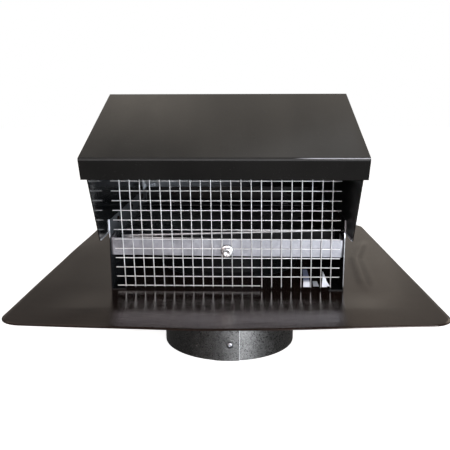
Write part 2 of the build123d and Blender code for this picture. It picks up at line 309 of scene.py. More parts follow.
class VentPaint(PropertyGroup):
    """Baked bronze enamel."""

    bronze: rgb("Bronze", "Enamel of the flange", (0.016, 0.0098, 0.0078))
    hood: rgb("Hood", "Enamel of the hood", (0.009, 0.0086, 0.0082))
    # Near-black painted shade, laid inside the throat and the hood's sides, on the collar above the
    # flange, and on the screen's wire feet
    shade: rgb("Shade", "Enamel inside the throat", (0.0055, 0.006, 0.0066))
    gloss_tint: rgb("Gloss tint", "Brown tint of the flange's gloss", (1.0, 0.85, 0.79))
    # Pale grey painted light, laid on the rear slope inside the hood and on the throat's left wall
    bloom: rgb("Bloom", "Pale bloom on sheltered enamel", (0.50, 0.53, 0.58))
    # Also the colour of the painted highlight along the hood's front fold
    bare_steel: rgb("Cut edge", "Bare steel at the cut edges", (0.78, 0.80, 0.86))


class VentZinc(PropertyGroup):
    """Galvanised and plated steel."""

    collar: rgb("Collar", "Weathered zinc of the collar", (0.215, 0.212, 0.21))
    strap: rgb("Strap", "Bright zinc of the strap", (0.50, 0.50, 0.545))
    # Near-black painted shade: the damper, its hinge rod and the trim strip sit in the throat's shade, and
    # are coloured far darker than zinc
    damper: rgb("Damper", "Dull zinc of the damper", (0.035, 0.036, 0.038))
    wire: rgb("Wire", "Bright zinc of the screen", (0.95, 0.95, 0.96))
    rivet: rgb("Collar rivet", "Weathered zinc of the collar's rivets", (0.36, 0.36, 0.38))
    spangle: metres("Spangle", "Width of a zinc crystal", 0.0007)


class VentScreen(PropertyGroup):
    """Wire screen."""

    lean: turn_by("Lean", "Lean of the screen to the front", radians(5.0))
    wire: metres("Wire", "Diameter of a wire", 0.00065)


class VentDamper(PropertyGroup):
    """Trim strip on the damper's front lip."""

    radius: metres("Hem", "Radius of a rolled edge", 0.0006)
    swell: number("Swell", "Growth of the rolled edges toward the left", 1.4)
    top_left: metres("Top left", "Height of the strip's upper edge on the left", 0.0320)
    top_right: metres("Top right", "Height of the upper edge on the right", 0.0360)
    low_left: metres("Low left", "Height of the strip's lower edge on the left", 0.0308)
    low_right: metres("Low right", "Height of the lower edge on the right", 0.0283)


class VentSealant(PropertyGroup):
    """Flakes and dabs of sealant that make painted highlights."""

    stand: metres("Stand", "Flakes before the duct axis", 0.0702)
    thickness: metres("Thickness", "Thickness of a flake", 0.0003)


class VentFasteners(PropertyGroup):
    """Rivets, the screw and the hems of the hood's wings."""

    rivet_head: metres("Rivet head", "Diameter of a rivet's head", 0.005)
    rivet_dome: metres("Rivet dome", "Height of a rivet's head", 0.001)
    rivet_shank: metres("Rivet shank", "Diameter of a rivet", 0.0032)
    rivet_pin: metres("Rivet pin", "Diameter of the pulled pin's hole", 0.0016)
    rivet_bulge: metres("Rivet bulge", "Diameter of the set end", 0.0044)
    rivet_tail: metres("Rivet tail", "Length of the set end", 0.0012)
    rivet_facets: whole("Rivet facets", "Facets round a rivet", 32)
    washer: metres("Washer", "Diameter of the screw's washer", 0.0078)
    washer_height: metres("Washer height", "Height of the washer", 0.0009)
    hex_width: metres("Hexagon", "Hexagon across its flats", 0.0056)
    hex_height: metres("Hexagon height", "Height of the hexagon", 0.0032)
    hex_turn: turn_by("Hexagon turn", "Turn of the hexagon", radians(12))
    recess: metres("Recess", "Diameter of the driving recess", 0.0036)
    recess_depth: metres("Recess depth", "Depth of the recess", 0.0011)
    screw_shank: metres("Shank", "Diameter of the screw", 0.0032)
    threads: whole("Threads", "Ridges along the screw", 9)
    screw_facets: whole("Screw facets", "Facets round the screw, in sixes", 60)
    wing_hem: metres("Wing hem", "Thickness of a wing's lower edge", 0.0011)


# Mesh making

def new_piece(name, shape, material, body=HOUSING, smooth=True):
    """Object from a drawn shape, riding on a body."""
    mesh = bpy.data.meshes.new(name)
    bmesh.ops.remove_doubles(shape, verts=shape.verts, dist=SAME_POINT)
    bmesh.ops.recalc_face_normals(shape, faces=shape.faces)
    shape.to_mesh(mesh)
    shape.free()
    for face in mesh.polygons:
        face.use_smooth = smooth
    mesh.materials.append(material)
    piece = bpy.data.objects.new(name, mesh)
    bpy.context.scene.collection.objects.link(piece)
    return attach(piece, body)


def add_rings(shape, rings, close_ends=True):
    """Skin over rings of points, each with the same count, and caps on the first and last."""
    loops = [[shape.verts.new(point) for point in ring] for ring in rings]
    count = len(loops[0])
    for lower, upper in zip(loops, loops[1:]):
        for place in range(count):
            after = (place + 1) % count
            shape.faces.new((lower[place], lower[after], upper[after], upper[place]))
    if close_ends:
        shape.faces.new(reversed(loops[0]))
        shape.faces.new(loops[-1])


def add_turned(shape, profile, seat, facets):
    """Piece turned round the Z axis of a seat: radius and height of each ring.

    A radius may be a function of the angle.
    """
    angles = [2 * pi * place / facets for place in range(facets)]
    rings = []
    for radius, height in profile:
        reach = radius if callable(radius) else lambda angle, fixed=radius: fixed
        rings.append([seat @ Vector((reach(a) * cos(a), reach(a) * sin(a), height)) for a in angles])
    add_rings(shape, rings)


def seat_along(outward, place=(0.0, 0.0, 0.0)):
    """Frame at a place whose Z axis points outward."""
    return Matrix.Translation(place) @ Vector(outward).to_track_quat("Z", "Y").to_matrix().to_4x4()


def solids_of(node_name):
    """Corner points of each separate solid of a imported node."""
    shape = bmesh.new()
    shape.from_mesh(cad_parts[node_name].data)
    bmesh.ops.remove_doubles(shape, verts=shape.verts, dist=SAME_PACKED_POINT)
    waiting = set(shape.verts)
    solids = []
    while waiting:
        front = [waiting.pop()]
        solid = []
        while front:
            vert = front.pop()
            solid.append(vert.co.copy())
            near = {edge.other_vert(vert) for edge in vert.link_edges} & waiting
            waiting -= near
            front.extend(near)
        solids.append(solid)
    shape.free()
    return solids


def span(points):
    """Lowest and highest corner of points."""
    low = Vector([min(point[axis] for point in points) for axis in range(3)])
    high = Vector([max(point[axis] for point in points) for axis in range(3)])
    return low, high


def ease(value, start, end):
    """Smooth step from 0 to 1 while a value goes from start to end."""
    share = min(max((value - start) / (end - start), 0.0), 1.0)
    return share * share * (3.0 - 2.0 * share)


# Masks

def front_edge(finish):
    """Mask of the throat's cut front edges: bare above the strap, and faintly so below it on the right."""
    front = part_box("throat_body")[0].y
    cut_face = (front + 0.0002, front + 0.0001)
    above_strap = (0.0345, 0.037)
    below_strap = (0.002, 0.005)
    right_half = (0.0, 0.01)
    faintness = 0.3
    edge = finish.along("Y", *cut_face)
    bare = finish.along("Z", *above_strap)
    faint = finish.along("Z", *below_strap) * finish.along("X", *right_half) * faintness
    return edge * (bare + faint * (1.0 - bare))


def front_fold(finish):
    """Mask of the bend of the hood's front fold, over its whole width."""
    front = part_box("hood_cover")[0].y
    near_front = (front + 0.0011, front + 0.0009)
    above_lip = (FOLD_HEIGHT - 0.0014, FOLD_HEIGHT - 0.0010)
    return finish.along("Y", *near_front) * finish.along("Z", *above_lip)


def washed_front(finish):
    """Mask of the flange's front, where water has run off and left marks from back to front."""
    wash = (-0.080, -0.122)
    return finish.along("Y", *wash)


# Laid with painted shade: the inner faces of the throat and the hood's sides
def inside_of(node_name):
    """Mask of all but the outer faces of a sheet that stands around the duct axis."""
    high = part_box(node_name)[1]
    within_side = (high.x - 0.0001, high.x - 0.0003)
    within_back = (high.y - 0.0001, high.y - 0.0003)

    def mask(finish):
        across = abs(finish.axis(finish.place(), "X"))
        return finish.step(across, *within_side) * finish.along("Y", *within_back)

    return mask


def rear_painted_light(finish):
    """Mask of painted light inside the hood: a pale patch along its rear fold, strongest on the left,
    where front light falls on the rear slope.
    """
    facing_down = (-0.3, -0.5)
    down_to_fold = (0.060, 0.053)
    back_to_fold = (0.055, 0.062)
    to_the_left = (0.045, -0.06)
    inside = finish.step(finish.axis(finish.facing(), "Z"), *facing_down)
    fold = finish.along("Z", *down_to_fold) * finish.along("Y", *back_to_fold)
    return inside * fold * finish.along("X", *to_the_left)


def left_wall_painted_light(finish):
    """Mask of painted light on the inside of the throat's left wall, where the key light from the right
    falls, stronger towards its top.
    """
    facing_right = (0.5, 0.7)
    to_the_wall = (-0.07, -0.074)
    to_the_top = (0.015, 0.045)
    faintest = 0.04
    strongest = 0.3
    facing = finish.step(finish.axis(finish.facing(), "X"), *facing_right)
    rise = finish.along("Z", *to_the_top, faintest, strongest)
    return facing * finish.along("X", *to_the_wall) * rise


def fold_painted_highlight(finish):
    """Mask of a painted highlight: bright bare steel along the hood's front fold, on its right part."""
    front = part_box("hood_cover")[0].y
    near_front = (front + 0.0008, front + 0.0006)
    up_to_fold = (FOLD_HEIGHT - 0.0003, FOLD_HEIGHT - 0.0001)
    down_to_fold = (FOLD_HEIGHT + 0.0003, FOLD_HEIGHT + 0.0001)
    to_the_right = (0.036, 0.052)
    fold = finish.along("Z", *up_to_fold) * finish.along("Z", *down_to_fold)
    return finish.along("Y", *near_front) * fold * finish.along("X", *to_the_right)


def wire_feet_painted_shade(finish):
    """Mask of painted shade on the ends of the screen's wires, dark where they stand on the flange."""
    down_to_dirt = (0.0026, 0.0022)
    return finish.along("Z", *down_to_dirt)


# Finishes

def bronze_enamel(
    name, colour, gloss, wave, wave_scale,
    wear_and_highlight=None, light_and_shade_coats=(), dulled=None, brushed=None, shine=0.5, tint=(1.0, 1.0, 1.0),
):
    """Baked enamel on sheet: slow waves, fine peel, dust, masked painted shade and light, and bare steel
    for wear and painted highlights.
    """
    dust_colour = (0.5, 0.49, 0.47)
    dust_share = 0.05
    dust_dulling = 0.2
    smudge_dulling = 0.06
    mask_dulling = 0.5
    bare_metal = 0.6
    bare_gloss = 0.35
    peel_height = 0.000012
    rolling_height = 0.00004
    washing_height = 0.00005
    material, finish = new_finish(name)
    waves = finish.clouds(wave_scale, detail=1.0)
    peel = finish.clouds(900, detail=2.0)
    mottle = finish.clouds((14, 9, 14), detail=4.0, roughness=0.6)
    smudge = finish.clouds((38, 21, 30), detail=5.0, roughness=0.65)
    dust = finish.step(finish.clouds(2600, detail=1.0), 0.72, 0.80)
    tone = finish.mix(finish.step(mottle, 0.3, 0.7), opaque(colour, 0.8), opaque(colour, 1.25))
    tone = finish.mix(dust * dust_share, tone, opaque(dust_colour))
    for mask, coat in light_and_shade_coats:
        tone = finish.mix(mask(finish), tone, opaque(coat))
    roughness = gloss + finish.step(smudge, 0.45, 0.75) * smudge_dulling + dust * dust_dulling
    if dulled:
        roughness = roughness + dulled(finish) * mask_dulling
    sockets = {"Base Color": tone, "Roughness": roughness}
    sockets.update({"Specular IOR Level": shine, "Specular Tint": opaque(tint)})
    # Bare steel where masked: real wear at the throat's cut edges, and a painted highlight along the
    # hood's front fold
    if wear_and_highlight:
        edge = wear_and_highlight(finish)
        bare_steel = bpy.context.scene.vent_paint.bare_steel
        sockets["Base Color"] = finish.mix(edge, tone, opaque(bare_steel))
        sockets["Metallic"] = edge * bare_metal
        sockets["Roughness"] = roughness * (1.0 - edge) + edge * bare_gloss
    normal = finish.bump(waves, wave)
    if brushed:
        rolling = finish.clouds((40, 2600, 40), detail=1.0)
        washing = finish.clouds((2600, 40, 40), detail=1.0) * brushed(finish)
        normal = finish.bump(rolling, rolling_height, under=normal)
        normal = finish.bump(washing, washing_height, under=normal)
    sockets["Normal"] = finish.bump(peel, peel_height, under=normal)
    finish.surface(sockets)
    return material


def spangled_zinc(name, colour, gloss, contrast, cell):
    """Hot-dip zinc: crystal cells that differ in tone and gloss, with a fine bloom."""
    fine_width = cell / 2.3
    bloom_share = 0.25
    crystal_height = 0.00006
    material, finish = new_finish(name)
    crystal = finish.crystals(cell, "X")
    fine = finish.crystals(fine_width, "Y")
    bloom = finish.clouds(60, detail=5.0, roughness=0.6)
    scratch = finish.clouds((240, 4200, 4200), detail=2.0)
    lightness = (crystal * 0.6 + fine * 0.4) * contrast + (bloom - 0.5) * bloom_share
    tone = finish.mix(lightness, opaque(colour, 0.55), opaque(colour, 1.3))
    height = crystal * 0.6 + fine * 0.3 + scratch * 0.25
    sockets = {"Base Color": tone, "Metallic": 1.0}
    sockets["Roughness"] = gloss + crystal * 0.12 + bloom * 0.10
    sockets["Normal"] = finish.bump(height, crystal_height, strength=0.6)
    finish.surface(sockets)
    return material


def collar_zinc(zinc, paint):
    """Spangled zinc, with painted shade on the lapped end and in the throat, and a painted highlight at
    the end's edge.
    """
    fine_width = zinc.spangle / 2.1
    on_the_lap = (0.00845, 0.0083)
    right_to_edge = (0.0081, 0.0083)
    left_to_edge = (0.0085, 0.0084)
    front_half = (0.0, -0.01)
    above_flange = (0.0001, 0.0004)
    lap_shading = 0.45
    crystal_height = 0.00009
    material, finish = new_finish("collar_spangle")
    crystal = finish.crystals(zinc.spangle, "X")
    fine = finish.crystals(fine_width, "Y")
    bloom = finish.clouds(55, detail=5.0, roughness=0.6)
    shaded_lap = finish.along("X", *on_the_lap)
    edge = finish.along("X", *right_to_edge) * finish.along("X", *left_to_edge)
    edge = edge * finish.along("Y", *front_half)
    # Near-black painted shade above the flange, where the collar stands in the throat
    inside = finish.along("Z", *above_flange)
    lightness = crystal * 0.7 + fine * 0.6 + bloom * 0.3 - 0.28
    tone = finish.mix(lightness, opaque(zinc.collar, 0.5), opaque(zinc.collar, 1.55))
    # Painted shade: the lapped end is darker, as its sheet turns away from the key light
    tone = finish.mix(shaded_lap * lap_shading, tone, opaque(zinc.collar, 0.4))
    # Painted highlight: a bright line along the lapped end's edge, on the front
    tone = finish.mix(edge, tone, opaque(zinc.wire, 0.8))
    tone = finish.mix(inside, tone, opaque(paint.shade))
    sockets = {"Base Color": tone, "Metallic": 1.0 - inside, "Specular IOR Level": 0.08}
    sockets["Roughness"] = 0.23 + crystal * 0.14 + bloom * 0.06
    sockets["Normal"] = finish.bump(crystal * 0.6 + fine * 0.4, crystal_height, strength=0.75)
    finish.surface(sockets)
    return material


def plated_steel(name, colour, gloss, shaded_by=None):
    """Bright plated steel with drawing marks, dull patches, and painted shade where masked."""
    mark_height = 0.00002
    patch_dulling = 0.15
    material, finish = new_finish(name)
    marks = finish.clouds((700, 700, 260), detail=3.0)
    dull = finish.clouds(120, detail=4.0)
    tone = finish.mix(finish.step(dull, 0.35, 0.7), opaque(colour), opaque(colour, 0.78))
    sockets = {"Base Color": tone, "Metallic": 1.0}
    sockets["Roughness"] = gloss + finish.step(dull, 0.4, 0.8) * patch_dulling
    sockets["Normal"] = finish.bump(marks, mark_height, strength=0.5)
    # Painted shade: near-black where the mask says
    if shaded_by:
        shading = shaded_by(finish)
        sockets["Base Color"] = finish.mix(shading, tone, opaque(bpy.context.scene.vent_paint.shade))
        sockets["Metallic"] = 1.0 - shading
    finish.surface(sockets)
    return material


def glinting_sealant():
    """Wet silicone as painted highlights: glint-white where it is thick, and clear in the thin upper half
    of the left flake.
    """
    pale = (0.60, 0.66, 0.76)
    glint_white = (0.92, 0.95, 1.0)
    clear = (0.16, 0.19, 0.29)
    right_half = (0.0, 0.01)
    left_to_flake = (0.058, 0.057)
    up_to_thin = (0.0038, 0.0052)
    cloud_height = 0.0002
    material, finish = new_finish("glint_silicone")
    cloud = finish.clouds(300, detail=4.0)
    flake = finish.along("X", *right_half) * finish.along("X", *left_to_flake)
    thin = flake * finish.along("Z", *up_to_thin)
    tone = finish.mix(cloud, opaque(pale), opaque(glint_white))
    tone = finish.mix(thin, tone, opaque(clear))
    sockets = {"Base Color": tone, "Specular IOR Level": 0.5}
    sockets["Roughness"] = 0.08 + cloud * 0.1
    sockets["Normal"] = finish.bump(cloud, cloud_height, strength=0.5)
    finish.surface(sockets)
    return material


# Pieces

def distance(spot, start, end):
    """How far a spot is from a straight run."""
    run = end - start
    share = min(max((spot - start).dot(run) / run.length_squared, 0.0), 1.0)
    return (spot - start - run * share).length


def flange_bend(flange):
    """Function of a place: how far the thin flange is bent up there.

    Its front droops, its corners lift, its sides twist, it waves where it is loose, and it has a kink.
    """
    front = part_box("base_flange")[0].y
    throat_low, throat_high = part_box("throat_body")
    kink_start = Vector(flange.kink_start)
    kink_bend = Vector(flange.kink_bend)
    kink_end = Vector(flange.kink_end)
    droop_round = 0.15
    stiff_width = 0.04
    kink_fade = 0.6

    def bend(x, y):
        reach = max(0.0, (y + flange.droop_start) / (front + flange.droop_start))
        droop = flange.droop * (1.0 + droop_round) * reach * reach / (reach + droop_round)
        lift = flange.lift * (hypot(x - flange.lift_middle, flange.lift_round) - flange.lift_round)
        before = lift * ease(y, -flange.lift_start, front) - droop
        twist = flange.twist * (y - front) * (1.0 if x < 0 else -1.0)
        aside = min(max(lift - flange.droop + twist, -flange.twist_low), flange.twist_high)
        sheet = before + (aside - before) * ease(abs(x), flange.lift_start, flange.twist_width)
        outside = max(abs(x) - throat_high.x, throat_low.y - y, y - throat_high.y)
        waves = noise.noise(Vector((x, y, 0.0)) * flange.ripple_scale)
        ripple = waves * flange.ripple * ease(outside, 0.0, stiff_width)
        spot = Vector((x, y))
        apart = min(distance(spot, kink_bend, kink_start), distance(spot, kink_bend, kink_end))
        kink = flange.kink * 2.0 ** (-((apart / flange.kink_width) ** 2))
        kink *= ease(y, kink_end.y, kink_fade * kink_end.y)
        kink *= ease(y, kink_start.y, kink_fade * kink_start.y)
        return sheet + ripple + kink

    return bend


def rounded_outline(low, high, radius, step):
    """Points along a rectangle with round corners, anticlockwise."""
    arc_parts = 8
    corners = ((high.x, high.y, 0), (low.x, high.y, 1), (low.x, low.y, 2), (high.x, low.y, 3))
    arcs = []
    for x, y, quarter in corners:
        middle = Vector((x - radius if x > 0 else x + radius, y - radius if y > 0 else y + radius))
        turns = [pi / 2 * (quarter + part / arc_parts) for part in range(arc_parts + 1)]
        arcs.append([middle + radius * Vector((cos(turn), sin(turn))) for turn in turns])
    points = []
    for arc, after in zip(arcs, arcs[1:] + arcs[:1]):
        points += arc
        run = after[0] - arc[-1]
        parts = max(1, round(run.length / step))
        points += [arc[-1] + run * (part / parts) for part in range(1, parts)]
    return points


class VENT_OT_flange(Operator):
    """Bends the thin flange as it is in use, and enamels it"""

    bl_idname = "vent.flange"
    bl_label = "Base Flange"

    def execute(self, context):
        flange = context.scene.vent_flange
        low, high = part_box("base_flange")
        outline = rounded_outline(low, high, flange.corner_radius, flange.grid)
        bend = flange_bend(flange)
        shares = [place / flange.rings for place in range(flange.rings + 1)]

        def sheet_rings(height, order):
            rings = []
            for share in order:
                ring = []
                for point in outline:
                    hole = point.normalized() * flange.hole_radius
                    flat = hole.lerp(point, share)
                    ring.append((flat.x, flat.y, height + bend(flat.x, flat.y)))
                rings.append(ring)
            return rings

        shape = bmesh.new()
        rings = sheet_rings(low.z, shares) + sheet_rings(high.z, shares[::-1])
        add_rings(shape, rings + rings[:1], close_ends=False)
        paint = context.scene.vent_paint
        enamel = bronze_enamel(
            "flange_enamel", paint.bronze, gloss=0.09, wave=0.0003, wave_scale=(16, 10, 9),
            brushed=washed_front, shine=0.52, tint=paint.gloss_tint,
        )
        piece = new_piece("flange_sheet", shape, enamel, smooth=False)
        level = 0.5
        for face in piece.data.polygons:
            face.use_smooth = abs(face.normal.z) > level
        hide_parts("base_flange")
        return {"FINISHED"}


class VENT_OT_painted_sheets(Operator):
    """Enamels the throat and the hood"""

    bl_idname = "vent.painted_sheets"
    bl_label = "Painted Sheets"

    def execute(self, context):
        paint = context.scene.vent_paint
        # The pale layer inside the hood is painted light on its rear slope
        cover = bronze_enamel(
            "hood_enamel", paint.hood, gloss=0.13, wave=0.0012, wave_scale=(22, 3, 3),
            wear_and_highlight=fold_painted_highlight, light_and_shade_coats=((rear_painted_light, paint.bloom),), dulled=front_fold,
        )
        dress("hood_cover", cover)
        # Painted shade on the inner faces of the hood's sides
        shaded = ((inside_of("hood_side_right"), paint.shade),)
        side = {"colour": paint.bronze, "wave": 0.0002, "wave_scale": STIFF_WAVES, "light_and_shade_coats": shaded}
        dress("hood_side_left", bronze_enamel("left_side_enamel", gloss=0.13, **side))
        dress("hood_side_right", bronze_enamel("right_side_enamel", gloss=0.36, shine=0.3, **side))
        # Inside the throat: near-black painted shade, and painted light on its left wall
        light_and_shade_coats = ((inside_of("throat_body"), paint.shade), (left_wall_painted_light, paint.bloom))
        throat = bronze_enamel(
            "throat_enamel", paint.bronze, gloss=0.2, wave=0.0008, wave_scale=STIFF_WAVES,
            wear_and_highlight=front_edge, light_and_shade_coats=light_and_shade_coats, shine=0.2,
        )
        dress("throat_body", throat)
        return {"FINISHED"}


def soften(node_name, width):
    """Rounds the sharp edges of a packed sheet piece."""
    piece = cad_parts[node_name]
    weld = piece.modifiers.new("weld", "WELD")
    weld.merge_threshold = SAME_PACKED_POINT
    bevel = piece.modifiers.new("edges", "BEVEL")
    bevel.width = width
    bevel.segments = 3
    bevel.limit_method = "ANGLE"
    bevel.angle_limit = radians(40)
    bevel.harden_normals = True


class VENT_OT_zinc_pieces(Operator):
    """Galvanises the collar, strap and damper, and plates the hinge rod and its caps"""

    bl_idname = "vent.zinc_pieces"
    bl_label = "Zinc Pieces"

    def execute(self, context):
        zinc = context.scene.vent_zinc
        large_spangle = 7 * zinc.spangle
        strap_edge = 0.00024
        dress("duct_collar", collar_zinc(zinc, context.scene.vent_paint))
        dress("screen_strap", spangled_zinc("strap_spangle", zinc.strap, 0.36, 0.3, large_spangle))
        # The damper's near-black zinc is painted shade
        dress("damper_flap", spangled_zinc("damper_spangle", zinc.damper, 0.2, 0.6, large_spangle))
        soften("screen_strap", strap_edge)
        # The rod's near-black plating is painted shade
        rod = plated_steel("rod_plating", zinc.damper, 0.3)
        dress("hinge_rod", rod)
        dress("rod_caps", rod)
        return {"FINISHED"}


class VENT_OT_damper_trim(Operator):
    """Clips a trim strip with rolled edges on the damper's front lip"""

    bl_idname = "vent.damper_trim"
    bl_label = "Damper Trim"

    def execute(self, context):
        hem = context.scene.vent_damper
        zinc = context.scene.vent_zinc
        stations = 24
        facets = 12
        unevenness = 0.12
        bumps = 9
        low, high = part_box("damper_flap")
        front = low.y - 0.2 * hem.radius
        runs = (
            (Vector((low.x, front, hem.top_left)), Vector((high.x, front, hem.top_right))),
            (Vector((low.x, front, hem.low_left)), Vector((high.x, front, hem.low_right))),
        )
        shape = bmesh.new()
        for start, end in runs:
            seat = seat_along(end - start, start)
            length = (end - start).length
            profile = [(0.0, 0.0), (0.7 * hem.radius, 0.0), (hem.radius, 0.4 * hem.radius)]
            for station in range(1, stations):
                share = station / stations
                uneven = 1.0 + unevenness * noise.noise(start + (end - start) * share * bumps)
                swell = hem.swell + (1.0 - hem.swell) * share
                profile.append((hem.radius * uneven * swell, length * share))
            profile += [(hem.radius, length - 0.4 * hem.radius), (0.7 * hem.radius, length), (0.0, length)]
            add_turned(shape, profile, seat, facets)
        edges = new_piece("damper_trim_edges", shape, plated_steel("trim_plating", zinc.wire, 0.5), DAMPER)
        shape = bmesh.new()
        back = Vector((0.0, 0.6 * hem.radius, 0.0))
        (top_start, top_end), (low_start, low_end) = runs
        sections = ((top_start, low_start), (top_end, low_end))
        add_rings(shape, [(top - back, low - back, low + back, top + back) for top, low in sections])
        # The trim strip's near-black plating is painted shade
        plating = plated_steel("strip_plating", zinc.damper, 0.4)
        strip = new_piece("damper_trim", shape, plating, DAMPER, smooth=False)
        return {"FINISHED"}


class VENT_OT_wing_hems(Operator):
    """Rolls the lower edge of each wing of the hood"""

    bl_idname = "vent.wing_hems"
    bl_label = "Wing Hems"

    def execute(self, context):
        radius = context.scene.vent_fasteners.wing_hem / 2
        facets = 16
        level = 0.0002
        throat_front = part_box("throat_body")[0].y
        shape = bmesh.new()
        for node_name, inward in (("hood_side_left", 1.0), ("hood_side_right", -1.0)):
            low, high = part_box(node_name)
            inner = high.x if inward > 0 else low.x
            points = [vert.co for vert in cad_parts[node_name].data.vertices]
            foot = min(point.z for point in points)
            tip = min(point.y for point in points if point.z < foot + level)
            start = Vector((inner, tip - 0.4 * radius, foot + radius))
            length = throat_front - radius - start.y
            profile = [(0.0, 0.0), (0.75 * radius, 0.12 * radius), (radius, 0.7 * radius)]
            profile += [(radius, length - 0.3 * radius), (0.7 * radius, length), (0.0, length)]
            add_turned(shape, profile, seat_along((0.0, 1.0, 0.0), start), facets)
        plating = plated_steel("hem_plating", context.scene.vent_paint.bare_steel, 0.5)
        piece = new_piece("wing_hems", shape, plating)
        return {"FINISHED"}


def screen_tilt():
    """Turn from the level to the leaning screen."""
    return Matrix.Rotation(pi / 2 + bpy.context.scene.vent_screen.lean, 4, "X")


class VENT_OT_screen_welds(Operator):
    """Plates the screen's wires, and puts a weld at each crossing"""

    bl_idname = "vent.screen_welds"
    bl_label = "Screen Welds"

    def execute(self, context):
        screen = context.scene.vent_screen
        # The wires' feet get painted shade where they stand on the flange
        plating = plated_steel("wire_plating", context.scene.vent_zinc.wire, 0.5, wire_feet_painted_shade)
        dress("wire_screen", plating)
        tilt = screen_tilt()
        upright = tilt.inverted()
        radius = screen.wire / 2
        weld = Vector((1.5, 1.4, 1.7)) * radius
        unevenness = 0.4 * radius
        roughness = 900
        boxes = [span([upright @ point for point in solid]) for solid in solids_of("wire_screen")]
        columns = [box for box in boxes if box[1].y - box[0].y > box[1].x - box[0].x]
        rows = [box for box in boxes if box[1].y - box[0].y <= box[1].x - box[0].x]
        shape = bmesh.new()
        for low, high in columns:
            for row_low, row_high in rows:
                up = (row_low.y + row_high.y) / 2
                share = (up - low.y) / (high.y - low.y)
                across = high.x - radius + (low.x - high.x + 2 * radius) * share
                if row_low.x < across < row_high.x:
                    spot = Vector((across, up, (low.z + row_high.z) / 2))
                    size = weld + noise.noise_vector(spot * roughness) * unevenness
                    place = tilt @ Matrix.Translation(spot) @ Matrix.Diagonal(size).to_4x4()
                    bmesh.ops.create_icosphere(shape, subdivisions=1, radius=1.0, matrix=place)
        piece = new_piece("screen_welds", shape, plating)
        return {"FINISHED"}


class VENT_OT_screen_screw(Operator):
    """Makes the screen's screw: washer, chamfered hexagon, driving recess and thread"""

    bl_idname = "vent.screen_screw"
    bl_label = "Screen Screw"

    def execute(self, context):
        fasteners = context.scene.vent_fasteners
        tilt = screen_tilt()
        upright = tilt.inverted()
        points = [upright @ vert.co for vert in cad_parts["screen_screw"].data.vertices]
        low, high = span(points)
        middle = (low + high) / 2
        collar = fasteners.washer_height
        hex_height = fasteners.hex_height
        depth = fasteners.recess_depth
        head = collar + hex_height
        seat = tilt @ Matrix.Translation((middle.x, middle.y, high.z - head))
        flat = fasteners.hex_width / 2
        washer = fasteners.washer / 2
        recess = fasteners.recess / 2

        def hexagon(scale):
            return lambda angle: scale * flat / cos((angle + fasteners.hex_turn) % (pi / 3) - pi / 6)

        shank = fasteners.screw_shank / 2
        length = high.z - low.z - head
        profile = [(0.0, -length), (0.35 * shank, -0.97 * length)]
        for turn in range(fasteners.threads):
            share = 0.9 * (turn + 0.5) / fasteners.threads
            profile += [(0.72 * shank, -length * (0.94 - share)), (shank, -length * (0.91 - share))]
        profile += [
            (0.8 * shank, 0.0),
            (0.96 * washer, 0.0),
            (washer, 0.3 * collar),
            (0.97 * washer, 0.62 * collar),
            (1.12 * flat, collar),
            (hexagon(1.0), 1.02 * collar),
            (hexagon(1.0), head - 0.18 * hex_height),
            (hexagon(0.96), head - 0.08 * hex_height),
            (1.02 * flat, head - 0.02 * hex_height),
            (0.94 * flat, head),
            (1.08 * recess, head),
            (0.98 * recess, head - 0.1 * depth),
            (0.8 * recess, head - 0.8 * depth),
            (0.5 * recess, head - depth),
            (0.0, head - depth),
        ]
        shape = bmesh.new()
        add_turned(shape, profile, seat, fasteners.screw_facets)
        plating = plated_steel("screw_plating", context.scene.vent_zinc.wire, 0.22)
        piece = new_piece("screw_head", shape, plating)
        sharp = radians(28)
        piece.data.set_sharp_from_angle(angle=sharp)
        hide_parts("screen_screw")
        return {"FINISHED"}


